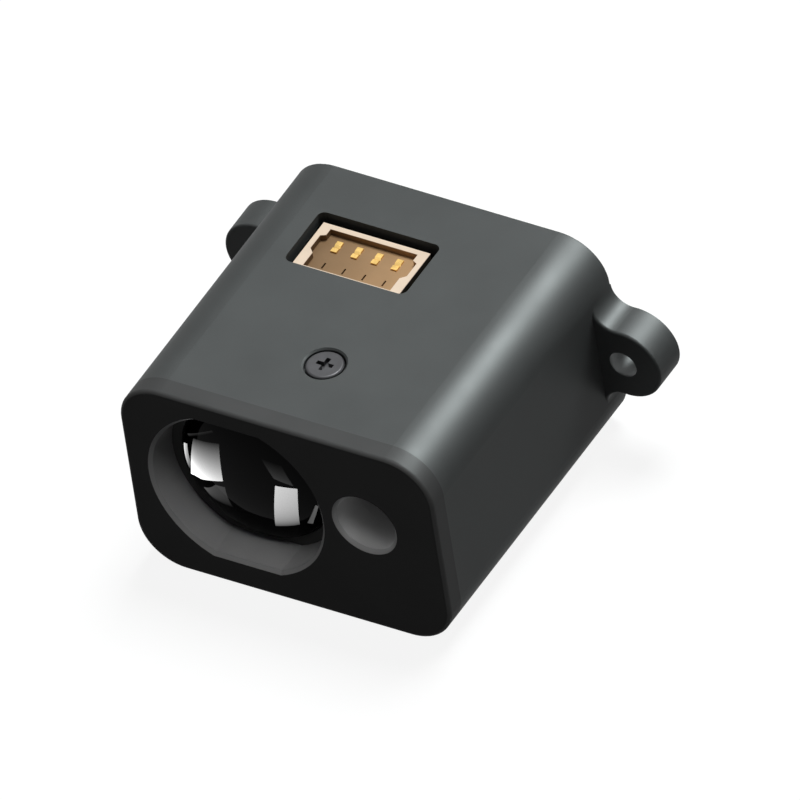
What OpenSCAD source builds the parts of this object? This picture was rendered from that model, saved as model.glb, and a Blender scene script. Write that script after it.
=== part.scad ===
// Compact time-of-flight laser ranging module.
// X runs across the front, with the emitter on the +X side. The front face looks along -Y. Z is up.
// The origin is the middle of the footprint, on the bottom face.

/* [Body] */
// Width of the body without its ears
body_w = 23.4; // [22.8:0.1:27]
// Height of the body
body_h = 15.5; // [15.2:0.1:18]
// Depth from the front face to the back face
body_d = 23.4; // [22.8:0.1:30]
// Radius of the four long corners
corner_r = 3.3; // [2:0.1:3.8]
// Wall of the housing
wall = 1; // [0.8:0.05:1.1]
// Thickness of the back wall
back_t = 1.5; // [1:0.1:2.5]
// Rounding of the front edge
front_edge_r = 0.3; // [0.1:0.05:0.5]
// Rounding of the back edge
back_edge_r = 0.15; // [0.05:0.05:0.4]

/* [Ears] */
// Distance between the two mounting holes
ear_spacing = 27; // [26.6:0.1:29]
// Radius of a mounting hole
ear_hole_r = 1; // [0.8:0.05:1.3]
// Outer radius of an ear
ear_r = 2.75; // [2.3:0.05:3]
// Thickness of an ear
ear_t = 2.6; // [1.5:0.1:4]
// Radius of the hollow blend between an ear and the body side
ear_blend_r = 1.5; // [0.6:0.1:1.7]
// Rounding of the ear's edges
ear_edge_r = 0.2; // [0.05:0.05:0.4]

/* [Front cover] */
// Thickness of the cover's visible plate
plate_t = 1.46; // [1:0.02:2]
// Depth of the whole cover, with the spigot that enters the housing
cover_d = 2.77; // [2.4:0.01:3.4]
// Clearance between the spigot and the housing
spigot_gap = 0.05; // [0.02:0.01:0.15]
// Wall of the tubes and the rim behind the plate
cover_wall = 0.8; // [0.5:0.05:1]

/* [Receiver] */
// Receiver axis, sideways from the middle
rx_x = -3.57; // [-3.8:0.01:-3]
// Receiver axis, height above the middle
rx_up = 0.33; // [0:0.01:0.5]
// Radius of the mouth in the cover
mouth_r = 6.3; // [6:0.02:6.7]
// Half the height between the mouth's two flats at the front face
flat_half = 5.81; // [5.6:0.01:6.1]
// How far each flat leans in over the depth of the cover
flat_draft = 0.06; // [0.04:0.02:0.5]
// Bevel around the mouth and the emitter hole
mouth_bevel = 0.25; // [0.1:0.05:0.3]
// Radius of the receiver lens
lens_r = 5.5; // [5:0.05:5.6]
// Clearance around a lens in its seat
lens_gap = 0.08; // [0.04:0.02:0.15]
// How deep the receiver lens sits in the bench
lens_seat_d = 1.5; // [1.2:0.05:1.8]
// How far the rim of the receiver lens stands in front of the bench
lens_rise = 0.9; // [0.7:0.05:1.1]
// Radius of the rounded shoulder of the receiver lens
lens_shoulder_r = 0.55; // [0.3:0.05:0.7]
// Height of the dome above the rim of the receiver lens
dome_h = 0.52; // [0.4:0.02:0.8]

/* [Emitter] */
// Emitter axis, sideways from the middle
tx_x = 6.12; // [5.8:0.02:6.6]
// Emitter axis, height above the middle
tx_up = 1.17; // [0.5:0.01:1.6]
// Radius of the emitter hole
tx_r = 2.18; // [1.8:0.02:2.3]
// Depth of the emitter lens ring behind the front face
tx_ring_depth = 4; // [3.4:0.1:4.6]

/* [Connector] */
// Number of contacts
pin_count = 4; // [3:1:4]
// Distance between contacts
pin_pitch = 1.5; // [1.4:0.05:1.6]
// Middle of the connector, sideways from the middle of the body
plug_x = -2.71; // [-2.9:0.01:-2.5]
// Width of the connector
plug_w = 7.98; // [7.4:0.02:8.4]
// Depth of the connector, front to back
plug_d = 4.45; // [4.2:0.05:5]
// Height of the connector
plug_h = 5; // [4:0.1:6]
// Wall of the connector at its sides
plug_side = 0.74; // [0.6:0.02:0.8]
// How far the connector stands up into the window
plug_rise = 0.5; // [0.3:0.05:0.7]
// Depth of the socket below the rim
socket_deep = 0.45; // [0.3:0.05:0.8]
// Width of the window in the top of the housing
window_w = 9.05; // [8.8:0.05:9.6]
// Depth of the window, front to back
window_d = 5; // [4.8:0.05:5.6]
// How far the middle of the window lies beside the middle of the connector
window_off_x = 0.13; // [-0.2:0.01:0.2]
// How far the middle of the window lies behind the middle of the connector
window_off_y = 0.17; // [0:0.01:0.2]
// Corner radius of the window
window_r = 0.5; // [0.2:0.1:0.8]

/* [Board] */
// Thickness of the circuit board
board_t = 1; // [0.8:0.1:1.2]
// Back face of the board, behind the middle of the body
board_back = 2.65; // [2.4:0.05:3]
// Gap all around between the board and the inside of the housing
board_gap = 0.4; // [0.2:0.05:0.6]
// Free play above and below the bench, so that it can be dropped and slid in
drop = 0.6; // [0.5:0.05:0.8]

/* [Screws] */
// Case screw, sideways from the middle
screw_x = 0.34; // [0:0.02:0.6]
// Case screw, distance in front of the middle
screw_front = 5.09; // [4.6:0.02:5.6]
// Radius of the case screw's head
screw_head_r = 1.3; // [1.1:0.05:1.5]
// Height of a screw head
screw_head_h = 0.55; // [0.4:0.05:0.6]
// Radius of the case screw's shank
screw_r = 0.7; // [0.5:0.05:0.8]
// Length of the case screw below its head
screw_len = 3.2; // [2.6:0.1:3.4]
// Clearance around screws in their holes
screw_gap = 0.05; // [0.03:0.01:0.1]
// Radius of a board screw's head
board_screw_head_r = 1.15; // [1:0.05:1.25]
// Radius of a board screw's shank
board_screw_r = 0.55; // [0.4:0.05:0.6]
// Length of a board screw below its head
board_screw_len = 3; // [2.4:0.1:3.1]
// Distance of a board screw from the edges of the board
board_screw_in = 1.6; // [1.5:0.1:2]

/* [Hidden] */
$fn = 96;
eps = 0.01;
through = 1;
// Faces of the body
mid_z = body_h / 2;
front_y = -body_d / 2;
back_y = body_d / 2;
seam_y = front_y + plate_t;
inner_top = body_h - wall;
rx_z = mid_z + rx_up;
tx_z = mid_z + tx_up;
// How far two rounded shapes that meet smoothly are sunk into each other
blend_overlap = 0.002;
// Optical bench: two plates with the receiver horn and the emitter tube between them
bench_gap = 0.1;
bench_front = front_y + cover_d;
bench_w = body_w - 2 * (wall + bench_gap);
bench_low = wall + drop;
bench_h = inner_top - bench_low;
bench_mid = bench_low + bench_h / 2;
bench_corner = corner_r - wall - bench_gap;
bench_back = board_back - board_t;
lens_plate_t = 2;
rear_plate_t = 2.5;
lens_plate_back = bench_front + lens_plate_t;
rear_plate_front = bench_back - rear_plate_t;
web_t = 1.2;
// Receiver, from the lens to the sensor on the board
lens_back = bench_front + lens_seat_d;
shoulder_v = lens_seat_d + lens_rise - lens_shoulder_r;
lens_tip = lens_seat_d + lens_rise + dome_h;
seat_ledge = 0.5;
horn_r = lens_r - seat_ledge;
horn_wall = 1;
aperture_r = 1.9;
aperture_t = 0.9;
pocket_front = rear_plate_front + aperture_t;
filter_w = 4.2;
filter_t = 0.5;
pocket_gap = 0.1;
pocket_w = filter_w + 2 * pocket_gap;
sensor_w = 3.2;
sensor_t = 0.9;
gasket_gap = 0.05;
// Emitter, from its lens to the laser on the board
tube_wall = 0.8;
ring_y = front_y + tx_ring_depth;
ring_t = 0.5;
ring_wall = 0.3;
tx_lens_y = ring_y + ring_t;
tx_lens_r = tx_r - lens_gap;
tx_edge_t = 1;
tx_dome_h = 0.4;
tx_ledge_y = tx_lens_y + tx_edge_t;
tx_throat_r = tx_r - seat_ledge;
laser_w = 2.4;
laser_h = 1.8;
laser_t = 0.8;
laser_gap = 0.3;
// Case screw and its boss
screw_sunk = 0.05;
screw_recess = screw_head_h + screw_sunk;
recess_gap = 0.12;
boss_r = 2;
boss_spare = 1;
boss_len = screw_len + boss_spare;
pilot_spare = 0.2;
cross_w = 0.32;
cross_l = 1.2;
cross_deep = 0.35;
// Circuit board, seen from behind
board_w = body_w - 2 * (wall + board_gap);
board_h = bench_h - 2 * (board_gap - bench_gap);
board_r = 1.6;
board_low = bench_mid - board_h / 2;
board_high = bench_mid + board_h / 2;
board_screw_x = board_w / 2 - board_screw_in;
board_screw_z = board_low + board_screw_in;
board_screw_at = [[-board_screw_x, board_screw_z], [board_screw_x, board_screw_z]];
// Connector: a cream shell on the back of the board, open towards the window above it
plug_top = inner_top + plug_rise;
plug_low = plug_top - plug_h;
plug_left = plug_x - plug_w / 2;
plug_right = plug_x + plug_w / 2;
plug_y = board_back + plug_d / 2;
plug_back = board_back + plug_d;
floor_z = plug_top - socket_deep;
socket_w = plug_w - 2 * plug_side;
socket_wall = 0.4;
key_in = 0.35;
contact_w = 0.45;
contact_d = 1;
contact_gap = 0.02;
contact_rise = 0.12;
contact_in = 1.42;
contact_y = plug_back - contact_in;
slot_in = 1.23;
slot_y = board_back + slot_in;
slot_w = 0.12;
slot_d = 0.55;
tail_t = 0.3;
tail_drop = 0.5;
tab_t = 0.25;
tab_foot = 0.7;
tab_h = 2.4;
// Gap between parts on the board
chip_in = 0.4;

// Shapes inside are drawn as seen from the front, with X across and Y up. Their height v stands for y = -v.
module front_view() {
    rotate([90, 0, 0]) children();
}

// Carries a profile around a rounded rectangle. The profile's X runs outwards from the corner's centre.
module around_rectangle(w, h, r) {
    for (k = [0:3]) {
        side_x = (k == 0 || k == 3) ? 1 : -1;
        side_y = (k < 2) ? 1 : -1;
        even = k % 2 == 0;
        translate([side_x * (w / 2 - r), side_y * (h / 2 - r), 0])
            rotate([0, 0, 90 * k])
                rotate_extrude(angle = 90)
                    children();
        rotate([0, 0, 90 * k])
            translate([(even ? w : h) / 2 - r, 0, 0])
                rotate([90, 0, 0])
                    linear_extrude((even ? h : w) - 2 * r, center = true)
                        children();
    }
}

// A rectangle whose upper outer corner is rounded
module rounded_profile(u, v0, v1, r) {
    difference() {
        translate([0, v0]) square([u, v1 - v0]);
        difference() {
            translate([u - r, v1 - r]) square(2 * r);
            translate([u - r, v1 - r]) circle(r);
        }
    }
}

module rounded_rectangle(w, h, r) {
    square([w - 2 * r, h], center = true);
    square([w, h - 2 * r], center = true);
    for (x = [-1, 1], y = [-1, 1])
        translate([x * (w / 2 - r), y * (h / 2 - r)]) circle(r);
}

// A rounded plate between two depths, its middle at the height z
module upright_plate(w, h, r, y0, y1, z) {
    translate([0, y1, z])
        front_view()
            linear_extrude(y1 - y0)
                rounded_rectangle(w, h, r);
}

// A block between two depths, its middle at x and z
module depth_block(x, z, w, h, y0, y1) {
    translate([x - w / 2, y0, z - h / 2]) cube([w, y1 - y0, h]);
}

// A shaft or bore along the depth
module depth_rod(x, z, r, y0, y1) {
    translate([x, y0, z]) rotate([-90, 0, 0]) cylinder(r = r, h = y1 - y0);
}

// A cone along the depth, from the radius r0 at y0 to the radius r1 at y1
module depth_cone(x, z, r0, r1, y0, y1) {
    translate([x, y0, z]) rotate([-90, 0, 0]) cylinder(r1 = r0, r2 = r1, h = y1 - y0);
}

// Carries a side view, with Y across and Z up, along X
module along_x(x, w) {
    translate([x, 0, 0])
        rotate([90, 0, 90])
            linear_extrude(w, center = true)
                children();
}

// A pan-head screw with a cross recess, seated at z = 0 with its shank pointing down
module pan_screw(head_r, head_h, shank_r, length, tip) {
    difference() {
        rotate_extrude() rounded_profile(head_r, 0, head_h, head_h / 3);
        for (turn = [0, 90])
            rotate([0, 0, turn])
                translate([-cross_l / 2, -cross_w / 2, head_h - cross_deep])
                    cube([cross_l, cross_w, cross_deep + through]);
    }
    translate([0, 0, tip - length]) cylinder(r = shank_r, h = length - tip);
    translate([0, 0, -length]) cylinder(r1 = shank_r / 3, r2 = shank_r, h = tip);
}

// Half the section of the receiver lens: a straight edge, a rounded shoulder and a shallow dome
module shouldered_profile() {
    in_r = lens_r - lens_shoulder_r;
    over = lens_tip - shoulder_v;
    sunk_r = lens_shoulder_r - blend_overlap;
    ball_r = (in_r * in_r + over * over - sunk_r * sunk_r) / (2 * (over - sunk_r));
    meet_u = in_r * ball_r / (ball_r - sunk_r);
    square([lens_r, shoulder_v]);
    translate([in_r, shoulder_v])
        intersection() {
            circle(lens_shoulder_r);
            square(2 * lens_shoulder_r);
        }
    intersection() {
        translate([0, shoulder_v / 2]) square([meet_u, lens_tip]);
        translate([0, lens_tip - ball_r]) circle(ball_r, $fn = 360);
    }
}

// Half the section of a lens with a straight edge and a dome above it
module lens_profile(r, edge, dome) {
    ball_r = (r * r + dome * dome) / (2 * dome);
    square([r, edge]);
    intersection() {
        translate([0, edge / 2]) square([r, edge / 2 + dome]);
        translate([0, edge + dome - ball_r]) circle(ball_r, $fn = 360);
    }
}

module housing_profile() {
    translate([corner_r - wall, back_t - eps - back_y])
        square([wall, body_d - plate_t - back_t + eps]);
    mirror([0, 1])
        rounded_profile(corner_r, back_y - back_t, back_y, back_edge_r);
}

// What is cut away around the centre of an ear's hollow blend, with the rounded edge flaring out of it
module ear_blend_profile() {
    edge_r = ear_blend_r + ear_edge_r;
    difference() {
        union() {
            translate([0, -through]) square([ear_blend_r, ear_t + 2 * through]);
            translate([0, ear_t - ear_edge_r]) square([edge_r, through]);
        }
        translate([edge_r, ear_t - ear_edge_r]) circle(ear_edge_r);
    }
}

// A mounting ear in the front view: a round lobe that runs into the body's side through two hollow blends
module ear() {
    centre_x = ear_spacing / 2;
    blend_x = body_w / 2 + ear_blend_r;
    blend_z = sqrt(pow(ear_r + ear_blend_r - blend_overlap, 2) - pow(blend_x - centre_x, 2));
    root_x = (body_w - wall) / 2;
    translate([centre_x, 0, 0])
        rotate_extrude()
            rounded_profile(ear_r, 0, ear_t, ear_edge_r);
    difference() {
        linear_extrude(ear_t)
            polygon([[centre_x, 0], [blend_x, blend_z], [root_x, blend_z], [root_x, -blend_z],
                [blend_x, -blend_z]]);
        for (side = [-1, 1])
            translate([blend_x, side * blend_z, 0])
                rotate_extrude()
                    ear_blend_profile();
    }
}

// The point of the top face above the case screw
module screw_place() {
    translate([screw_x, -screw_front, body_h]) children();
}

module screw_counterbore() {
    recess_r = screw_head_r + recess_gap;
    screw_place() {
        translate([0, 0, -screw_recess]) cylinder(r = recess_r, h = screw_recess + through);
        translate([0, 0, -recess_gap])
            cylinder(r1 = recess_r, r2 = recess_r + 2 * recess_gap, h = 2 * recess_gap);
        translate([0, 0, -wall - through]) cylinder(r = screw_r + 2 * screw_gap, h = wall + through);
    }
}

// Sleeve with a closed back, two ears, the connector's window and the counterbore of the case screw
module housing() {
    color([0.2, 0.21, 0.21])
        difference() {
            union() {
                translate([0, 0, mid_z])
                    front_view() {
                        around_rectangle(body_w, body_h, corner_r) housing_profile();
                        translate([0, 0, back_t / 2 - back_y])
                            cube([body_w - 2 * corner_r, body_h - 2 * corner_r, back_t], center = true);
                    }
                for (side = [0, 1])
                    mirror([side, 0, 0])
                        translate([0, back_y, mid_z])
                            front_view() ear();
            }
            for (side = [-1, 1])
                depth_rod(side * ear_spacing / 2, mid_z, ear_hole_r, back_y - ear_t - through,
                    back_y + through);
            translate([plug_x + window_off_x, plug_y + window_off_y, inner_top - through])
                linear_extrude(wall + 2 * through)
                    rounded_rectangle(window_w, window_d, window_r);
            screw_counterbore();
        }
}

// The space between two flats above and below the receiver's axis, h0 away from it at y0 and h1 at y1
module between_flats(y0, h0, y1, h1) {
    along_x(rx_x, 4 * mouth_r)
        polygon([[y0, rx_z - h0], [y1, rx_z - h1], [y1, rx_z + h1], [y0, rx_z + h0]]);
}

function flat_at(y) = flat_half - flat_draft * (y - front_y) / cover_d;

// A 45 degree countersink for a round hole in the front face
module bevel_cone(x, z, r) {
    depth_cone(x, z, r + 2 * mouth_bevel, r - mouth_bevel, front_y - mouth_bevel,
        front_y + 2 * mouth_bevel);
}

// The receiver's mouth: a round bore between two flats that lean in, bevelled at the front
module mouth() {
    y0 = front_y - through;
    y1 = bench_front + through;
    intersection() {
        depth_rod(rx_x, rx_z, mouth_r, y0, y1);
        between_flats(y0, flat_at(y0), y1, flat_at(y1));
    }
    intersection() {
        bevel_cone(rx_x, rx_z, mouth_r);
        between_flats(front_y - mouth_bevel, flat_half + 2 * mouth_bevel,
            front_y + 2 * mouth_bevel, flat_half - mouth_bevel);
    }
}

module cover_profile() {
    rounded_profile(corner_r, -seam_y, -front_y, front_edge_r);
    translate([0, -bench_front]) square([corner_r - wall - spigot_gap, cover_d - plate_t + eps]);
}

// Flush front plate with a spigot behind it, hollowed out around the two light tubes
module front_cover() {
    spigot_w = body_w - 2 * (wall + spigot_gap);
    spigot_h = body_h - 2 * (wall + spigot_gap);
    spigot_r = corner_r - wall - spigot_gap;
    color([0.13, 0.13, 0.13])
        difference() {
            translate([0, 0, mid_z])
                front_view() {
                    around_rectangle(body_w, body_h, corner_r) cover_profile();
                    translate([corner_r - body_w / 2, corner_r - body_h / 2, -bench_front])
                        cube([body_w - 2 * corner_r, body_h - 2 * corner_r, cover_d]);
                }
            mouth();
            depth_rod(tx_x, tx_z, tx_r, front_y - through, bench_front + through);
            bevel_cone(tx_x, tx_z, tx_r);
            difference() {
                upright_plate(spigot_w - 2 * cover_wall, spigot_h - 2 * cover_wall, spigot_r - cover_wall,
                    seam_y, bench_front + through, mid_z);
                depth_rod(rx_x, rx_z, mouth_r + cover_wall, seam_y - through, bench_front + 2 * through);
                depth_rod(tx_x, tx_z, tx_r + cover_wall, seam_y - through, bench_front + 2 * through);
            }
        }
}

module receiver_lens() {
    color([0.05, 0.05, 0.06])
        translate([rx_x, lens_back, rx_z])
            front_view()
                rotate_extrude()
                    shouldered_profile();
}

// Solid outline of the bench: two plates, the horn, the emitter tube, webs and the boss of the case screw
module bench_body() {
    upright_plate(bench_w, bench_h, bench_corner, bench_front, lens_plate_back, bench_mid);
    upright_plate(bench_w, bench_h, bench_corner, rear_plate_front, bench_back, bench_mid);
    intersection() {
        depth_cone(rx_x, rx_z, horn_r + horn_wall, aperture_r + horn_wall, lens_back, pocket_front);
        depth_block(rx_x, bench_mid, 4 * horn_r, bench_h, lens_back - through, pocket_front + through);
    }
    depth_rod(tx_x, tx_z, tx_r + tube_wall, lens_back, pocket_front);
    depth_block((rx_x + tx_x) / 2, tx_z, tx_x - rx_x, web_t, lens_back, pocket_front);
    depth_block(tx_x, bench_mid, web_t, bench_h, lens_back, pocket_front);
    depth_block(screw_x, inner_top - boss_len / 2, web_t, boss_len, lens_back, -screw_front);
    translate([screw_x, -screw_front, inner_top - boss_len]) cylinder(r = boss_r, h = boss_len);
}

module optical_bench() {
    color([0.1, 0.1, 0.1])
        difference() {
            bench_body();
            depth_rod(rx_x, rx_z, lens_r + lens_gap, bench_front - through, lens_back);
            depth_cone(rx_x, rx_z, horn_r, aperture_r, lens_back, rear_plate_front);
            depth_rod(rx_x, rx_z, aperture_r, lens_back, bench_back + through);
            depth_rod(rx_x, rx_z, horn_r, lens_back - eps, lens_back + eps);
            depth_block(rx_x, rx_z, pocket_w, pocket_w, pocket_front, bench_back + through);
            depth_rod(tx_x, tx_z, tx_r, bench_front - through, tx_ledge_y);
            depth_rod(tx_x, tx_z, tx_throat_r, tx_ledge_y - eps, pocket_front + eps);
            depth_block(tx_x, tx_z, laser_w + 2 * laser_gap, laser_h + 2 * laser_gap, pocket_front,
                bench_back + through);
            translate([screw_x, -screw_front, inner_top - screw_len + wall - screw_recess - pilot_spare])
                cylinder(r = screw_r + screw_gap, h = screw_len + through);
            for (p = board_screw_at)
                depth_rod(p[0], p[1], board_screw_r + screw_gap, board_back - board_screw_len - pilot_spare,
                    bench_back + through);
        }
}

module emitter_lens_ring() {
    color([0.16, 0.16, 0.17])
        difference() {
            depth_rod(tx_x, tx_z, tx_lens_r, ring_y, tx_lens_y);
            depth_rod(tx_x, tx_z, tx_lens_r - ring_wall, ring_y - through, tx_lens_y + through);
        }
}

module emitter_lens() {
    color([0.55, 0.6, 0.65])
        translate([tx_x, tx_ledge_y, tx_z])
            front_view()
                rotate_extrude()
                    lens_profile(tx_lens_r, tx_edge_t, tx_dome_h);
}

module bandpass_filter() {
    color([0.35, 0.1, 0.25])
        depth_block(rx_x, rx_z, filter_w, filter_w, pocket_front, pocket_front + filter_t);
}

// Foam frame that shuts out stray light and holds the filter on its ledge
module sensor_gasket() {
    outer = pocket_w - 2 * gasket_gap;
    inner = sensor_w + 2 * gasket_gap;
    color([0.08, 0.08, 0.08])
        difference() {
            depth_block(rx_x, rx_z, outer, outer, pocket_front + filter_t, bench_back);
            depth_block(rx_x, rx_z, inner, inner, pocket_front, bench_back + through);
        }
}

module receiver_sensor() {
    window = sensor_w / 2;
    window_deep = 0.18;
    face_y = bench_back - sensor_t;
    color([0.12, 0.12, 0.13])
        difference() {
            depth_block(rx_x, rx_z, sensor_w, sensor_w, face_y, bench_back);
            depth_block(rx_x, rx_z, window, window, face_y - through, face_y + window_deep);
        }
}

// Open ceramic tray of the laser
module laser_emitter() {
    rim = 0.4;
    face_y = bench_back - laser_t;
    color([0.8, 0.75, 0.6])
        difference() {
            depth_block(tx_x, tx_z, laser_w, laser_h, face_y, bench_back);
            depth_block(tx_x, tx_z, laser_w - 2 * rim, laser_h - 2 * rim, face_y - through,
                face_y + laser_t / 2);
        }
}

module main_board() {
    color([0.05, 0.3, 0.16])
        difference() {
            upright_plate(board_w, board_h, board_r, bench_back, board_back, bench_mid);
            for (p = board_screw_at)
                depth_rod(p[0], p[1], board_screw_r + 2 * screw_gap, bench_back - through,
                    board_back + through);
        }
}

module board_screws() {
    color([0.75, 0.75, 0.76])
        for (p = board_screw_at)
            translate([p[0], board_back, p[1]])
                rotate([-90, 0, 0])
                    pan_screw(board_screw_head_r, screw_head_h, board_screw_r, board_screw_len,
                        board_screw_r);
}

module case_screw() {
    color([0.16, 0.16, 0.17])
        screw_place()
            translate([0, 0, -screw_recess])
                pan_screw(screw_head_r, screw_head_h, screw_r, screw_len, screw_r);
}

// A moulded chip on the back of the board, with a dimple at its first corner
module chip(x, z, w, h, t) {
    dimple_r = 0.2;
    dimple_in = 0.6;
    top_y = board_back + t;
    difference() {
        depth_block(x, z, w, h, board_back, top_y);
        depth_rod(x - w / 2 + dimple_in, z + h / 2 - dimple_in, dimple_r, top_y - dimple_r / 2,
            top_y + through);
    }
}

// A ceramic part with a metal cap at each end
module capped_block(x, z, w, h, t, cap) {
    skin = 0.03;
    depth_block(x, z, w - cap, h - 2 * skin, board_back, board_back + t - skin);
    for (side = [-1, 1])
        depth_block(x + side * (w - cap) / 2, z, cap, h, board_back, board_back + t);
}

module laser_driver() {
    w = 2.2;
    t = 0.75;
    color([0.07, 0.07, 0.08])
        chip(tx_x, board_high - chip_in - w / 2, w, w, t);
}

module microcontroller() {
    w = 4;
    t = 0.85;
    from_right = 2.4;
    from_top = 3.3;
    color([0.07, 0.07, 0.08])
        chip(board_w / 2 - from_right - w / 2, board_high - from_top - w / 2, w, w, t);
}

// Five-legged regulator: a small moulded block on gull-wing legs
module voltage_regulator() {
    w = 1.6;
    h = 2.9;
    body_t = 1.05;
    lift = 0.1;
    leg_t = 0.15;
    leg_out = 0.6;
    leg_pitch = 0.95;
    above_mid = 0.4;
    x = -board_w / 2 + chip_in + leg_out + w / 2;
    z = bench_mid + above_mid;
    knee = w / 2 + leg_out / 2;
    shoulder_y = body_t / 2;
    color([0.07, 0.07, 0.08]) {
        depth_block(x, z, w, h, board_back + lift, board_back + body_t);
        for (leg = [[-1, -1], [-1, 0], [-1, 1], [1, -1], [1, 1]])
            translate([x, board_back, z + leg[1] * leg_pitch - leg_t])
                mirror([leg[0] < 0 ? 1 : 0, 0, 0])
                    linear_extrude(2 * leg_t)
                        polygon([[w / 2 - leg_t, shoulder_y], [w / 2 - leg_t, shoulder_y + leg_t],
                            [knee, shoulder_y + leg_t], [knee, leg_t], [w / 2 + leg_out, leg_t],
                            [w / 2 + leg_out, 0], [knee - leg_t, 0], [knee - leg_t, shoulder_y]]);
    }
}

// Ceramic tray under a metal lid
module clock_crystal() {
    w = 2.5;
    h = 2;
    tray_t = 0.4;
    rim = 0.15;
    from_low = 1.4;
    from_plug = 6.5;
    x = plug_x + from_plug;
    z = board_low + from_low + h / 2;
    color([0.8, 0.78, 0.7]) {
        depth_block(x, z, w, h, board_back, board_back + tray_t);
        depth_block(x, z, w - 2 * rim, h - 2 * rim, board_back + tray_t / 2, board_back + 2 * tray_t);
    }
}

// Drum core between two square flanges
module power_inductor() {
    w = 3;
    t = 1.5;
    flange_t = 0.35;
    core_in = 0.25;
    from_plug = 3.35;
    from_low = 0.8;
    x = plug_x + from_plug;
    z = board_low + from_low + w / 2;
    color([0.25, 0.25, 0.26]) {
        depth_block(x, z, w, w, board_back, board_back + flange_t);
        depth_block(x, z, w, w, board_back + t - flange_t, board_back + t);
        depth_rod(x, z, w / 2 - core_in, board_back + flange_t / 2, board_back + t - flange_t / 2);
    }
}

// Moulded block capacitor that feeds the laser's pulses
module storage_capacitor() {
    w = 3.5;
    h = 2.8;
    t = 1.9;
    cap = 0.7;
    left = 0.3;
    from_low = 0.9;
    color([0.7, 0.5, 0.15])
        capped_block(plug_x - left, board_low + from_low + h / 2, w, h, t, cap);
}

// Three capacitors in a row under the connector and two beside it
module ceramic_capacitors() {
    w = 1.6;
    h = 0.8;
    t = 0.8;
    cap = 0.35;
    row_z = plug_low - tail_drop - chip_in - h / 2;
    beside_x = plug_right + tab_foot + chip_in + w / 2;
    color([0.75, 0.62, 0.45]) {
        for (k = [-1:1])
            capped_block(plug_x + k * (w + chip_in), row_z, w, h, t, cap);
        for (k = [0:1])
            capped_block(beside_x, board_high - chip_in - h / 2 - k * (h + chip_in), w, h, t, cap);
    }
}

// Four resistors in a row under the capacitors and three up the right edge of the board
module chip_resistors() {
    w = 1;
    h = 0.5;
    t = 0.35;
    cap = 0.2;
    below = 1.6;
    row_z = plug_low - tail_drop - below - h / 2;
    edge_x = board_w / 2 - chip_in - w / 2;
    color([0.12, 0.12, 0.12]) {
        for (k = [-2:1])
            capped_block(plug_x + (k + 0.5) * (w + chip_in), row_z, w, h, t, cap);
        for (k = [0:2])
            capped_block(edge_x, bench_mid + k * (h + chip_in), w, h, t, cap);
    }
}

function contact_x(k) = plug_x + (k - (pin_count - 1) / 2) * pin_pitch;

// Outline of the socket: a rectangle with a bevelled pocket in each side
module socket_outline() {
    half = socket_w / 2;
    back = plug_back - socket_wall;
    front = board_back + socket_wall;
    key_to_back = 0.6;
    key_to_front = 1.25;
    key_back = back - key_to_back;
    key_front = front + key_to_front;
    right_side = [[half, front], [half, key_front], [half + key_in, key_front + key_in],
        [half + key_in, key_back - key_in / 2], [half, key_back], [half, back]];
    left_side = [for (k = [len(right_side) - 1:-1:0]) [-right_side[k][0], right_side[k][1]]];
    polygon([for (p = concat(right_side, left_side)) [plug_x + p[0], p[1]]]);
}

// Cream connector shell with a shallow socket, contact slots and key slits in its floor
module connector_housing() {
    relief = tail_drop + tail_t;
    color([0.97, 0.88, 0.8])
        difference() {
            translate([plug_left, board_back, plug_low]) cube([plug_w, plug_d, plug_h]);
            translate([0, 0, floor_z]) linear_extrude(socket_deep + through) socket_outline();
            for (k = [0:pin_count - 1]) {
                translate([contact_x(k), contact_y, plug_low - through])
                    linear_extrude(plug_h)
                        square([contact_w + 2 * contact_gap, contact_d + 2 * contact_gap], center = true);
                translate([contact_x(k), slot_y, floor_z - socket_deep])
                    linear_extrude(plug_h)
                        square([slot_w, slot_d], center = true);
            }
            translate([plug_left + plug_side, board_back - through, plug_low - through])
                cube([socket_w, plug_d - socket_wall + through, through + relief]);
        }
}

// Four gold contacts: a blade with a notched top, and a tail that runs to the board
module connector_contacts() {
    top = floor_z + contact_rise;
    notch = 0.3;
    tail_z = plug_low + tail_drop - tail_t;
    color([0.95, 0.75, 0.3])
        for (k = [0:pin_count - 1])
            translate([contact_x(k), 0, 0]) {
                difference() {
                    translate([-contact_w / 2, contact_y - contact_d / 2, tail_z])
                        cube([contact_w, contact_d, top - tail_z]);
                    along_x(0, 2 * contact_w)
                        polygon([[contact_y - notch / 2, top + eps], [contact_y, top - contact_rise],
                            [contact_y + notch / 2, top + eps]]);
                }
                translate([-contact_w / 2, board_back, tail_z])
                    cube([contact_w, contact_y - board_back, tail_t]);
            }
}

// Tin-plated tabs that hold the connector to the board at both sides
module connector_tabs() {
    color([0.78, 0.78, 0.76])
        for (side = [-1, 1])
            translate([plug_x + side * plug_w / 2, board_back, plug_low + tail_drop])
                mirror([side < 0 ? 1 : 0, 0, 0]) {
                    cube([tab_foot, tab_t, tab_h]);
                    cube([tab_t, plug_d / 2, tab_h]);
                }
}

housing();
front_cover();
receiver_lens();
optical_bench();
emitter_lens_ring();
emitter_lens();
bandpass_filter();
sensor_gasket();
receiver_sensor();
laser_emitter();
main_board();
board_screws();
laser_driver();
microcontroller();
voltage_regulator();
clock_crystal();
power_inductor();
storage_capacitor();
ceramic_capacitors();
chip_resistors();
connector_housing();
connector_contacts();
connector_tabs();
case_screw();
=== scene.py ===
import math
import bmesh
import bpy
from mathutils import Matrix, Vector


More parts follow.
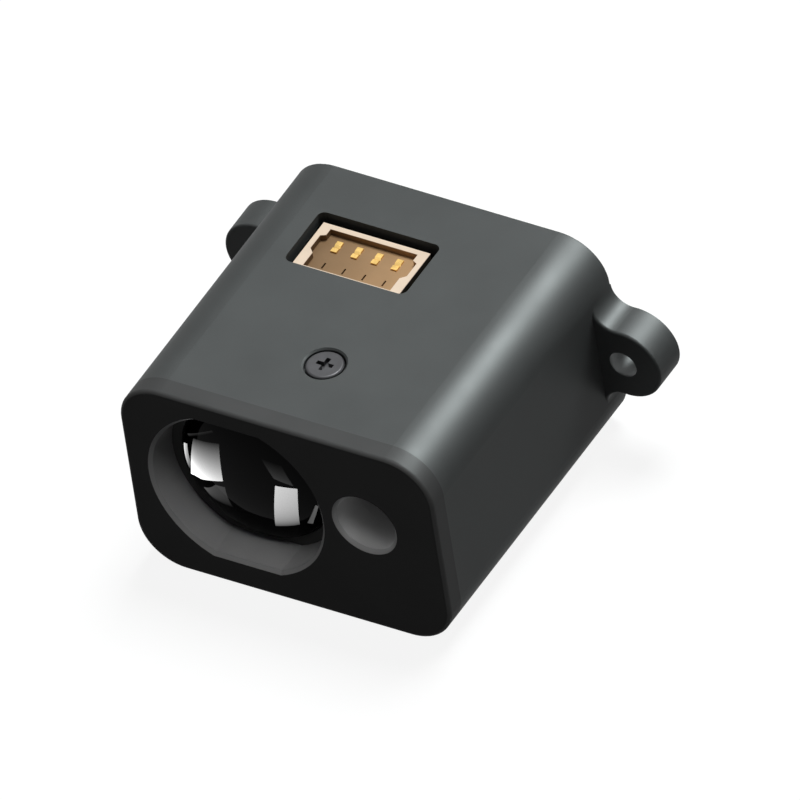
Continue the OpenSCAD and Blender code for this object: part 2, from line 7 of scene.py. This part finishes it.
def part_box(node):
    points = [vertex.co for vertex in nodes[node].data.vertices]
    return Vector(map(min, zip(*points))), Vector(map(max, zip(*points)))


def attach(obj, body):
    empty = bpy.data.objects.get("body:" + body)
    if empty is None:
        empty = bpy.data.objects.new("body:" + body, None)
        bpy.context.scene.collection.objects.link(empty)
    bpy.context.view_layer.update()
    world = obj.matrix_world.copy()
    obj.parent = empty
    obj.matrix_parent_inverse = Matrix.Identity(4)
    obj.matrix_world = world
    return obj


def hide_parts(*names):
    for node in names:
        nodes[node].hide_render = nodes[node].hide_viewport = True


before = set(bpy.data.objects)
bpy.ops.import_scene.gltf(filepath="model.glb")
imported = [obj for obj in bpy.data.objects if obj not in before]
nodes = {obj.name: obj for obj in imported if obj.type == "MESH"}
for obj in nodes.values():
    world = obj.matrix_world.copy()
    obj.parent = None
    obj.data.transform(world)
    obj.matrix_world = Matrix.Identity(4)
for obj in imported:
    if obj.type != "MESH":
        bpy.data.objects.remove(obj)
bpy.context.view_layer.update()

scene = bpy.context.scene
mm = 0.001


def boxMiddle(name):
    # the middle of a CAD node, in millimetres
    low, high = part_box(name)
    return (low + high) / 2 / mm


# places that the pieces and lamps below start from, in millimetres
lensMiddle = boxMiddle("receiver_lens")
ringMiddle = boxMiddle("emitter_lens_ring")
plugMiddle = boxMiddle("connector_housing")
housingMiddle = boxMiddle("housing")
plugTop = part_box("connector_housing")[1].z / mm
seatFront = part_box("optical_bench")[0].y / mm
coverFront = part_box("front_cover")[0].y / mm
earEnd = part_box("housing")[1].x / mm
lensCentre = Vector((lensMiddle.x, seatFront, lensMiddle.z))  # where the dome meets the seat


# camera
cameraLook = {
    "right": (0.86364, 0.48938, -0.12129),
    "up": (-0.25471, 0.63105, 0.73278),
    "aim": (-0.777, 3.986, 4.088),  # in millimetres
    "width": 51.613,
    "away": 300.0,
}


def makeCamera(look):
    right = Vector(look["right"]).normalized()
    up = Vector(look["up"])
    up = (up - right * up.dot(right)).normalized()
    back = right.cross(up)
    data = bpy.data.cameras.new("camera")
    data.type = "ORTHO"
    data.ortho_scale = look["width"] * mm
    data.clip_start, data.clip_end = 0.01, 10.0
    camera = bpy.data.objects.new("camera", data)
    turn = Matrix((right, up, back)).transposed().to_4x4()
    place = Vector(look["aim"]) * mm + back * look["away"] * mm
    camera.matrix_world = Matrix.Translation(place) @ turn
    scene.collection.objects.link(camera)
    scene.camera = camera
    print("camera is set")


makeCamera(cameraLook)


# material helpers
def startMaterial(name):
    material = bpy.data.materials.new(name)
    material.use_nodes = True
    tree = material.node_tree
    shader = tree.nodes["Principled BSDF"]
    return material, tree, shader


def addNode(tree, kind, settings=None, **inputs):
    node = tree.nodes.new(kind)
    for key, value in (settings or {}).items():
        setattr(node, key, value)
    for key, value in inputs.items():
        node.inputs[key].default_value = value
    return node


def objectPlace(tree):
    # object coordinates in millimetres
    place = addNode(tree, "ShaderNodeTexCoord")
    mapping = addNode(tree, "ShaderNodeMapping")
    mapping.inputs["Scale"].default_value = (1 / mm, 1 / mm, 1 / mm)
    tree.links.new(place.outputs["Object"], mapping.inputs["Vector"])
    return mapping.outputs["Vector"]


def noise(tree, place, perMm, detail=3.0, rough=0.5):
    node = addNode(tree, "ShaderNodeTexNoise", None, Scale=perMm, Detail=detail, Roughness=rough)
    tree.links.new(place, node.inputs["Vector"])
    return node.outputs["Fac"]


def ramp(tree, value, stops):
    node = addNode(tree, "ShaderNodeValToRGB")
    points = node.color_ramp.elements
    while len(points) < len(stops):
        points.new(0.5)
    for point, (at, colour) in zip(points, stops):
        point.position = at
        point.color = (*colour, 1)
    tree.links.new(value, node.inputs["Fac"])
    return node.outputs["Color"]


def blendColour(tree, kind, amount, first, second):
    node = addNode(tree, "ShaderNodeMix", {"data_type": "RGBA", "blend_type": kind})
    for socket, value in ((node.inputs[0], amount), (node.inputs[6], first), (node.inputs[7], second)):
        if isinstance(value, bpy.types.NodeSocket):
            tree.links.new(value, socket)
        else:
            socket.default_value = value
    return node.outputs[2]


def stretchValue(tree, value, low, high, newLow, newHigh):
    node = addNode(tree, "ShaderNodeMapRange")
    for key, number in (("From Min", low), ("From Max", high), ("To Min", newLow), ("To Max", newHigh)):
        node.inputs[key].default_value = number
    tree.links.new(value, node.inputs["Value"])
    return node.outputs["Result"]


def bump(tree, height, depthMm):
    node = addNode(tree, "ShaderNodeBump", None, Strength=1.0, Distance=depthMm * mm)
    tree.links.new(height, node.inputs["Height"])
    return node.outputs["Normal"]


def shade(colour, factor):
    return tuple(min(1.0, c * factor) for c in colour)


def mouldedPlastic(name, look):
    # a moulded plastic: cloudy colour, fine grain, uneven gloss and a few rubbed spots
    material, tree, shader = startMaterial(name)
    place = objectPlace(tree)
    clouds = noise(tree, place, look["cloudsPerMm"], 4.0)
    grain = noise(tree, place, look["grainPerMm"], 2.0, 0.6)
    rubs = noise(tree, place, look["rubsPerMm"], 6.0, 0.65)
    base = look["colour"]
    spread = look["spread"]
    colour = ramp(tree, clouds, [(0.3, shade(base, 1 - spread)), (0.7, shade(base, 1 + spread))])
    rubbed = ramp(tree, rubs, [(0.6, (0, 0, 0)), (0.78, (look["rub"],) * 3)])
    colour = blendColour(tree, "MIX", rubbed, colour, (*shade(base, 1.6), 1))
    tree.links.new(colour, shader.inputs["Base Color"])
    gloss = stretchValue(tree, clouds, 0.3, 0.7, look["rough"] - 0.03, look["rough"] + 0.03)
    tree.links.new(gloss, shader.inputs["Roughness"])
    shader.inputs["Specular IOR Level"].default_value = look["specular"]
    tree.links.new(bump(tree, grain, look["grainMm"]), shader.inputs["Normal"])
    return material


def paintShadeOnFront(material, look):
    # the face that looks straight to the front is painted darker than the other faces, as painted shade
    tree = material.node_tree
    shader = tree.nodes["Principled BSDF"]
    facing = addNode(tree, "ShaderNodeNewGeometry")
    split = addNode(tree, "ShaderNodeSeparateXYZ")
    tree.links.new(facing.outputs["Normal"], split.inputs[0])
    amount = stretchValue(tree, split.outputs["Y"], *look["faceTurn"], 0.0, 1.0)
    before = shader.inputs["Base Color"].links[0].from_socket
    dark = blendColour(tree, "MULTIPLY", 1.0, before, (*(look["frontPaintedShade"],) * 3, 1))
    tree.links.new(blendColour(tree, "MIX", amount, before, dark), shader.inputs["Base Color"])
    return material


def within(tree, value, middle, reach):
    node = addNode(tree, "ShaderNodeMath", {"operation": "COMPARE"})
    node.inputs[1].default_value, node.inputs[2].default_value = middle, reach
    tree.links.new(value, node.inputs[0])
    return node.outputs[0]


def paintLightInside(material, factor, box):
    # the walls inside this box are painted lighter, as painted light in the recess: middle and reach
    # along x, y and z
    tree = material.node_tree
    shader = tree.nodes["Principled BSDF"]
    split = addNode(tree, "ShaderNodeSeparateXYZ")
    tree.links.new(objectPlace(tree), split.inputs[0])
    inside = within(tree, split.outputs["X"], *box[0])
    for axis, (middle, reach) in zip("YZ", box[1:]):
        both = addNode(tree, "ShaderNodeMath", {"operation": "MULTIPLY"})
        tree.links.new(inside, both.inputs[0])
        tree.links.new(within(tree, split.outputs[axis], middle, reach), both.inputs[1])
        inside = both.outputs[0]
    before = shader.inputs["Base Color"].links[0].from_socket
    light = blendColour(tree, "MULTIPLY", 1.0, before, (factor, factor, factor, 1))
    tree.links.new(blendColour(tree, "MIX", inside, before, light), shader.inputs["Base Color"])
    return material


def platedMetal(name, look):
    # metal with fine turning or rolling marks and slightly uneven gloss
    material, tree, shader = startMaterial(name)
    place = objectPlace(tree)
    marks = noise(tree, place, look["marksPerMm"], 5.0, 0.6)
    stain = noise(tree, place, look["stainPerMm"], 3.0)
    base = look["colour"]
    colour = ramp(tree, stain, [(0.35, shade(base, 0.82)), (0.65, shade(base, 1.05))])
    tree.links.new(colour, shader.inputs["Base Color"])
    shader.inputs["Metallic"].default_value = look["metallic"]
    gloss = stretchValue(tree, marks, 0.3, 0.7, look["rough"] - 0.06, look["rough"] + 0.06)
    tree.links.new(gloss, shader.inputs["Roughness"])
    tree.links.new(bump(tree, marks, look["marksMm"]), shader.inputs["Normal"])
    return material


def opticGlass(name, look):
    # polished optic: faint coating tint and a trace of dust over a clear or black body
    material, tree, shader = startMaterial(name)
    place = objectPlace(tree)
    tint = noise(tree, place, look["tintPerMm"], 2.0)
    dust = noise(tree, place, look["dustPerMm"], 6.0, 0.7)
    base = look["colour"]
    colour = ramp(tree, tint, [(0.35, base), (0.65, look["coating"])])
    tree.links.new(colour, shader.inputs["Base Color"])
    gloss = stretchValue(tree, dust, 0.55, 0.8, look["rough"], look["rough"] + look["dust"])
    tree.links.new(gloss, shader.inputs["Roughness"])
    shader.inputs["Specular IOR Level"].default_value = look["specular"]
    shader.inputs["Transmission Weight"].default_value = look["clear"]
    tree.links.new(bump(tree, dust, look["dustMm"]), shader.inputs["Normal"])
    return material


def setMaterial(names, material):
    for name in names:
        slots = nodes[name].data.materials
        if len(slots) == 0:
            slots.append(material)
        for index in range(len(slots)):
            slots[index] = material


# housing and front cover
housingLook = {
    "colour": (0.048, 0.050, 0.050), "spread": 0.06, "cloudsPerMm": 0.22, "grainPerMm": 9.0,
    "grainMm": 0.004, "rubsPerMm": 0.9, "rub": 0.10, "rough": 0.55, "specular": 0.07,
}
coverLook = {
    "colour": (0.034, 0.034, 0.034), "spread": 0.06, "cloudsPerMm": 0.25, "grainPerMm": 10.0,
    "grainMm": 0.003, "rubsPerMm": 0.9, "rub": 0.08, "rough": 0.56, "specular": 0.035,
    # the front face, painted darker as shade, where the surface's y direction passes from the first
    # value to the second
    "frontPaintedShade": 0.17, "faceTurn": (-0.9, -0.995),
    # the walls of the mouth and of the small hole, painted lighter as painted light
    "bores": ((-0.9, 9.55), (-8.0, 3.68), (8.0, 6.5)), "borePaintedLight": 4.0,
}
benchLook = {
    "colour": (0.022, 0.022, 0.022), "spread": 0.08, "cloudsPerMm": 0.4, "grainPerMm": 12.0,
    "grainMm": 0.006, "rubsPerMm": 1.2, "rub": 0.05, "rough": 0.7, "specular": 0.15,
    # the emitter's tube, painted lighter as painted light
    "tube": ((ringMiddle.x, 2.6), (-6.0, 5.6), (ringMiddle.z, 2.6)), "tubePaintedLight": 6.0,
}
setMaterial(["housing"], mouldedPlastic("housingPlastic", housingLook))
# the cover's front face gets painted shade
coverPlastic = paintShadeOnFront(mouldedPlastic("coverPlastic", coverLook), coverLook)
# the walls of the mouth and of the small hole get painted light
setMaterial(["front_cover"], paintLightInside(coverPlastic, coverLook["borePaintedLight"], coverLook["bores"]))
benchPlastic = mouldedPlastic("benchPlastic", benchLook)
# the walls of the emitter's tube get painted light
setMaterial(["optical_bench"], paintLightInside(benchPlastic, benchLook["tubePaintedLight"], benchLook["tube"]))
print("housing, cover and bench have their plastics")


# optics
lensLook = {
    "colour": (0.0010, 0.0010, 0.0012), "coating": (0.0022, 0.0018, 0.0030), "tintPerMm": 0.25,
    "dustPerMm": 5.0, "dust": 0.03, "dustMm": 0.0001, "rough": 0.03, "specular": 0.025, "clear": 0.0,
}
clearLook = {
    "colour": (0.14, 0.14, 0.15), "coating": (0.12, 0.12, 0.15), "tintPerMm": 0.5,
    "dustPerMm": 8.0, "dust": 0.05, "dustMm": 0.0002, "rough": 0.05, "specular": 0.2, "clear": 0.3,
}
filterLook = {
    "colour": (0.20, 0.03, 0.10), "coating": (0.05, 0.10, 0.16), "tintPerMm": 0.3,
    "dustPerMm": 8.0, "dust": 0.03, "dustMm": 0.0002, "rough": 0.04, "specular": 0.6, "clear": 0.4,
}
ringLook = {
    "colour": (0.12, 0.12, 0.125), "metallic": 0.3, "rough": 0.5, "marksPerMm": 8.0,
    "marksMm": 0.002, "stainPerMm": 0.6,
}
lensShape = {
    "radius": 5.5, "rise": 1.42, "deep": 1.45, "around": 160, "rings": 96,
}


def makeLens(look):
    # a flattened half ball on a short barrel
    dome = bmesh.new()
    bmesh.ops.create_uvsphere(dome, u_segments=look["around"], v_segments=look["rings"],
                              radius=look["radius"] * mm)
    bmesh.ops.rotate(dome, verts=dome.verts, cent=(0, 0, 0), matrix=Matrix.Rotation(math.pi / 2, 3, "X"))
    bmesh.ops.bisect_plane(dome, geom=dome.verts[:] + dome.edges[:] + dome.faces[:], dist=1e-7,
                           plane_co=(0, 0, 0), plane_no=(0, 1, 0), clear_outer=True)
    bmesh.ops.scale(dome, vec=(1, look["rise"] / look["radius"], 1), verts=dome.verts)
    rim = [edge for edge in dome.edges if edge.is_boundary]
    grown = bmesh.ops.extrude_edge_only(dome, edges=rim)["geom"]
    back = [part for part in grown if isinstance(part, bmesh.types.BMVert)]
    bmesh.ops.translate(dome, vec=(0, look["deep"] * mm, 0), verts=back)
    for face in dome.faces:
        face.smooth = True
    bmesh.ops.holes_fill(dome, edges=[edge for edge in dome.edges if edge.is_boundary])
    for face in dome.faces:
        if len(face.verts) > 4:
            face.smooth = False
    bmesh.ops.translate(dome, vec=lensCentre * mm, verts=dome.verts)
    bmesh.ops.recalc_face_normals(dome, faces=dome.faces)
    mesh = bpy.data.meshes.new("lensDome")
    dome.to_mesh(mesh)
    dome.free()
    piece = bpy.data.objects.new("lensDome", mesh)
    scene.collection.objects.link(piece)
    mesh.materials.append(opticGlass("lensBlack", lensLook))
    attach(piece, "root")
    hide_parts("receiver_lens")
    return piece


lensDome = makeLens(lensShape)
setMaterial(["receiver_lens"], lensDome.data.materials[0])
setMaterial(["emitter_lens"], opticGlass("lensClear", clearLook))
setMaterial(["bandpass_filter"], opticGlass("filterGlass", filterLook))
setMaterial(["emitter_lens_ring"], platedMetal("ringMetal", ringLook))
print("optics have their glass")


# electronics
chipLook = {
    "colour": (0.016, 0.016, 0.018), "spread": 0.15, "cloudsPerMm": 1.0, "grainPerMm": 22.0,
    "grainMm": 0.004, "rubsPerMm": 2.0, "rub": 0.10, "rough": 0.55, "specular": 0.4,
}
ceramicLook = {
    "colour": (0.42, 0.28, 0.16), "spread": 0.08, "cloudsPerMm": 1.2, "grainPerMm": 18.0,
    "grainMm": 0.003, "rubsPerMm": 2.0, "rub": 0.05, "rough": 0.45, "specular": 0.4,
}
ferriteLook = {
    "colour": (0.05, 0.05, 0.055), "spread": 0.12, "cloudsPerMm": 1.5, "grainPerMm": 16.0,
    "grainMm": 0.008, "rubsPerMm": 2.5, "rub": 0.2, "rough": 0.6, "specular": 0.35,
}
yellowLook = {
    "colour": (0.42, 0.20, 0.035), "spread": 0.07, "cloudsPerMm": 1.0, "grainPerMm": 14.0,
    "grainMm": 0.003, "rubsPerMm": 2.0, "rub": 0.05, "rough": 0.4, "specular": 0.4,
}
boardLook = {
    "colour": (0.010, 0.085, 0.035), "spread": 0.12, "cloudsPerMm": 0.5, "grainPerMm": 6.0,
    "grainMm": 0.006, "rubsPerMm": 1.5, "rub": 0.08, "rough": 0.32, "specular": 0.5,
}
gasketLook = {
    "colour": (0.018, 0.018, 0.018), "spread": 0.2, "cloudsPerMm": 3.0, "grainPerMm": 9.0,
    "grainMm": 0.03, "rubsPerMm": 3.0, "rub": 0.05, "rough": 0.85, "specular": 0.2,
}
steelLook = {
    "colour": (0.55, 0.55, 0.57), "metallic": 1.0, "rough": 0.32, "marksPerMm": 6.0,
    "marksMm": 0.002, "stainPerMm": 0.7,
}
tinLook = {
    "colour": (0.60, 0.60, 0.58), "metallic": 1.0, "rough": 0.38, "marksPerMm": 5.0,
    "marksMm": 0.003, "stainPerMm": 1.5,
}
setMaterial(["laser_driver", "microcontroller", "voltage_regulator", "receiver_sensor",
             "chip_resistors"], mouldedPlastic("chipPlastic", chipLook))
setMaterial(["ceramic_capacitors", "laser_emitter"], mouldedPlastic("chipCeramic", ceramicLook))
setMaterial(["power_inductor"], mouldedPlastic("ferrite", ferriteLook))
setMaterial(["storage_capacitor"], mouldedPlastic("capacitorYellow", yellowLook))
setMaterial(["main_board"], mouldedPlastic("boardGreen", boardLook))
setMaterial(["sensor_gasket"], mouldedPlastic("gasketFoam", gasketLook))
setMaterial(["board_screws"], platedMetal("screwSteel", steelLook))
setMaterial(["clock_crystal"], platedMetal("crystalMetal", steelLook))
print("board and chips have their finishes")


# connector and case screw
creamLook = {
    "colour": (0.80, 0.64, 0.50), "spread": 0.05, "cloudsPerMm": 0.6, "grainPerMm": 12.0,
    "grainMm": 0.002, "rubsPerMm": 1.5, "rub": 0.05, "rough": 0.4, "specular": 0.15,
    # the painted shade of the plastic below its rim, and how that painted shade changes along x
    "fadeMm": (0.02, 0.06), "inside": (0.38, 0.29, 0.19),
    "acrossMm": (-6.7, 1.3), "acrossPaintedShade": (0.62, 1.5),
    # the walls in the gap of the window lie outside these half widths and are painted nearly black as
    # shade
    "halfMm": (3.96, 2.19), "outside": 0.25,
}


def paintShadeBelowRim(material, look):
    # below the rim the plastic is painted darker and browner as the shade in the socket, changing along
    # x, and the walls in the window's gap are painted nearly black as shade
    tree = material.node_tree
    shader = tree.nodes["Principled BSDF"]
    split = addNode(tree, "ShaderNodeSeparateXYZ")
    tree.links.new(objectPlace(tree), split.inputs[0])
    fade = [plugTop - below for below in look["fadeMm"]]
    depth = stretchValue(tree, split.outputs["Z"], *fade, 0.0, 1.0)
    before = shader.inputs["Base Color"].links[0].from_socket
    deep = blendColour(tree, "MULTIPLY", 1.0, before, (*look["inside"], 1))
    across = stretchValue(tree, split.outputs["X"], *look["acrossMm"], *look["acrossPaintedShade"])
    deep = blendColour(tree, "MULTIPLY", 1.0, deep, across)
    gap = shade(look["colour"], look["inside"][0] * look["outside"])
    for axis, middle, half in zip("XY", plugMiddle, look["halfMm"]):
        deep = blendColour(tree, "MIX", within(tree, split.outputs[axis], middle, half), (*gap, 1), deep)
    tree.links.new(blendColour(tree, "MIX", depth, before, deep), shader.inputs["Base Color"])


goldLook = {
    "colour": (0.90, 0.60, 0.20), "metallic": 1.0, "rough": 0.25, "marksPerMm": 10.0,
    "marksMm": 0.001, "stainPerMm": 2.0,
}
blackScrewLook = {
    "colour": (0.06, 0.06, 0.064), "metallic": 0.5, "rough": 0.4, "marksPerMm": 7.0,
    "marksMm": 0.002, "stainPerMm": 1.0,
}
connectorCream = mouldedPlastic("connectorCream", creamLook)
# the connector's socket and the walls in the window's gap get painted shade
paintShadeBelowRim(connectorCream, creamLook)
setMaterial(["connector_housing"], connectorCream)
setMaterial(["connector_contacts"], platedMetal("contactGold", goldLook))
setMaterial(["connector_tabs"], platedMetal("tabTin", tinLook))
setMaterial(["case_screw"], platedMetal("screwBlack", blackScrewLook))
print("connector and screw have their finishes")


# floor, world and lights
stageLook = {
    "floorSize": 3000.0, "floorDrop": 0.005, "floorColour": 0.14, "floorLift": 0.89, "fill": 0.07,
}


def seenDirectly(tree):
    # 1 for rays that show the background: camera, glossy and transmission
    path = addNode(tree, "ShaderNodeLightPath")
    total = None
    for key in ("Is Camera Ray", "Is Glossy Ray", "Is Transmission Ray"):
        if total is None:
            total = path.outputs[key]
            continue
        add = addNode(tree, "ShaderNodeMath", {"operation": "MAXIMUM"})
        tree.links.new(total, add.inputs[0])
        tree.links.new(path.outputs[key], add.inputs[1])
        total = add.outputs[0]
    return total


def makeFloor(look):
    sheet = bmesh.new()
    bmesh.ops.create_grid(sheet, x_segments=1, y_segments=1, size=look["floorSize"] / 2 * mm)
    mesh = bpy.data.meshes.new("floor")
    sheet.to_mesh(mesh)
    sheet.free()
    floor = bpy.data.objects.new("floor", mesh)
    floor.location.z = -look["floorDrop"] * mm
    scene.collection.objects.link(floor)
    material = bpy.data.materials.new("floorPale")
    material.use_nodes = True
    tree = material.node_tree
    tree.nodes.clear()
    out = addNode(tree, "ShaderNodeOutputMaterial")
    diffuse = addNode(tree, "ShaderNodeBsdfDiffuse", None, Color=(*(look["floorColour"],) * 3, 1))
    glow = addNode(tree, "ShaderNodeEmission", None, Color=(1, 1, 1, 1))
    lift = addNode(tree, "ShaderNodeMath", {"operation": "MULTIPLY"})
    lift.inputs[1].default_value = look["floorLift"]
    tree.links.new(seenDirectly(tree), lift.inputs[0])
    tree.links.new(lift.outputs[0], glow.inputs["Strength"])
    both = addNode(tree, "ShaderNodeAddShader")
    tree.links.new(diffuse.outputs[0], both.inputs[0])
    tree.links.new(glow.outputs[0], both.inputs[1])
    tree.links.new(both.outputs[0], out.inputs["Surface"])
    mesh.materials.append(material)


def makeWorld(look):
    world = bpy.data.worlds.new("world")
    scene.world = world
    world.use_nodes = True
    tree = world.node_tree
    tree.nodes.clear()
    out = addNode(tree, "ShaderNodeOutputWorld")
    fill = addNode(tree, "ShaderNodeBackground", None, Color=(1, 1, 1, 1), Strength=look["fill"])
    white = addNode(tree, "ShaderNodeBackground", None, Color=(1, 1, 1, 1), Strength=1.0)
    mix = addNode(tree, "ShaderNodeMixShader")
    tree.links.new(seenDirectly(tree), mix.inputs["Fac"])
    tree.links.new(fill.outputs[0], mix.inputs[1])
    tree.links.new(white.outputs[0], mix.inputs[2])
    tree.links.new(mix.outputs[0], out.inputs["Surface"])


def makeLight(name, towards, aimMm, awayMm, sizeMm, radiance, colour=(1, 1, 1), upwards=None):
    # an area light that faces the point aimMm from the direction towards
    data = bpy.data.lights.new(name, "AREA")
    data.shape = "RECTANGLE"
    data.size, data.size_y = sizeMm[0] * mm, sizeMm[1] * mm
    data.energy = radiance * math.pi * data.size * data.size_y
    data.color = colour
    light = bpy.data.objects.new(name, data)
    direction = Vector(towards).normalized()
    turn = direction.to_track_quat("Z", "Y").to_matrix().to_4x4()
    if upwards:
        side = Vector(upwards).cross(direction).normalized()
        turn = Matrix((side, direction.cross(side), direction)).transposed().to_4x4()
    light.matrix_world = Matrix.Translation((Vector(aimMm) + direction * awayMm) * mm) @ turn
    light.visible_camera = False
    scene.collection.objects.link(light)
    return light


def lightOnly(light, pieces):
    # the light reaches these pieces alone
    group = bpy.data.collections.new(light.name + "Group")
    for piece in pieces:
        group.objects.link(piece)
    light.light_linking.receiver_collection = group


# small soft boxes close in front of the lens and seen in it alone, placed from its centre,
# in millimetres
paneDimmest = 0.04  # the part of the light left at the faded end
lensPanes = {
    "upperLeft": {"from": (-3.99, -1.68, 0.01), "towards": (-0.236, -0.836, -0.495),
                  "upwards": (-0.348, -0.403, 0.847), "size": (2.83, 2.89), "radiance": 80.0, "fade": 1},
    "lowerLeft": {"from": (-3.02, -1.23, -2.63), "towards": (-0.339, -0.935, 0.106),
                  "upwards": (0.147, 0.058, 0.987), "size": (1.77, 3.01), "radiance": 4.5, "fade": -1},
    "upperRight": {"from": (2.08, -2.16, 0.93), "towards": (0.407, -0.842, 0.355),
                   "upwards": (-0.270, 0.261, 0.927), "size": (2.04, 2.24), "radiance": 9.0, "fade": 1},
    "lowerRight": {"from": (2.38, -1.85, -2.31), "towards": (-0.195, -0.942, -0.273),
                   "upwards": (0.118, -0.299, 0.947), "size": (1.75, 3.72), "radiance": 150.0,
                   "fade": -1},
    "bandRight": {"from": (4.22, -0.95, -2.61), "towards": (0.02, -0.42, -0.91),
                  "upwards": (0.64, -0.69, 0.34), "size": (0.35, 2.24), "radiance": 26.0, "fade": -1},
    "bandLeft": {"from": (-5.20, -0.70, -0.19), "towards": (-0.893, -0.434, -0.116),
                 "upwards": (-0.155, 0.055, 0.986), "size": (0.39, 2.06), "radiance": 24.0, "fade": -1},
    "bandTop": {"from": (-3.80, -1.06, 2.49), "towards": (-0.535, -0.687, 0.493),
                "upwards": (-0.209, 0.672, 0.711), "size": (2.56, 0.26), "radiance": 3.0, "fade": -1},
}


def makePane(name, look):
    pane = makeLight(name + "Pane", look["towards"], Vector(look["from"]) + lensCentre, 0, look["size"],
                     look["radiance"], upwards=look["upwards"])
    pane.visible_diffuse = False
    lightOnly(pane, [lensDome])
    # the light fades towards one end
    pane.data.use_nodes = True
    tree = pane.data.node_tree
    place = addNode(tree, "ShaderNodeNewGeometry")
    split = addNode(tree, "ShaderNodeSeparateXYZ")
    tree.links.new(place.outputs["Parametric"], split.inputs[0])
    ends = (1.0, 0.0) if look["fade"] > 0 else (0.0, 1.0)
    amount = stretchValue(tree, split.outputs["Y"], ends[0], ends[1], paneDimmest, 1.0)
    tree.links.new(amount, tree.nodes["Emission"].inputs["Strength"])


# the lamps, in millimetres: onto names the only parts that one lights, and the last three
# stand inside the holes themselves
lamps = {
    "key": {"towards": (0.04, 0.35, 0.93), "aim": (0, 0, 8), "away": 600, "size": (250, 250),
            "radiance": 19.5, "colour": (0.97, 1.0, 1.0)},
    "edge": {"towards": (0.29, 0.60, 0.745), "aim": (0, 0, 8), "away": 600, "size": (200, 200),
             "radiance": 420.0, "colour": (0.91, 1.0, 1.0), "glossOnly": True,
             "onto": ("housing", "front_cover")},
    "mouth": {"towards": (0.30, -0.24, 0.92), "aim": (-2, -10, 8), "away": 400, "size": (120, 120),
              "radiance": 25.0, "onto": ("front_cover", "optical_bench")},
    "hole": {"towards": (0, -1, 0), "aim": (ringMiddle.x, coverFront - 0.02, ringMiddle.z), "away": 0,
             "size": (2.9, 2.9), "radiance": 1.6,
             "onto": ("front_cover", "optical_bench", "emitter_lens_ring")},
}
earLook = {"towards": (0, -1, 0), "away": 0, "size": (1.3, 1.3), "radiance": 6.0, "onto": ("housing",)}
earInside = 2.75  # from the end of an ear to the middle of its hole
for earName, side in (("earLeft", -1), ("earRight", 1)):
    lamps[earName] = {**earLook, "aim": (side * (earEnd - earInside), 9.08, housingMiddle.z)}


scene.view_settings.view_transform = "Standard"
makeFloor(stageLook)
makeWorld(stageLook)
for lampName, look in lamps.items():
    lamp = makeLight(lampName + "Light", look["towards"], look["aim"], look["away"], look["size"],
                     look["radiance"], look.get("colour", (1, 1, 1)))
    lamp.visible_diffuse = not look.get("glossOnly", False)
    if "onto" in look:
        lightOnly(lamp, [nodes[name] for name in look["onto"]])
for paneName, paneLook in lensPanes.items():
    makePane(paneName, paneLook)
print("floor, world and lights are set")
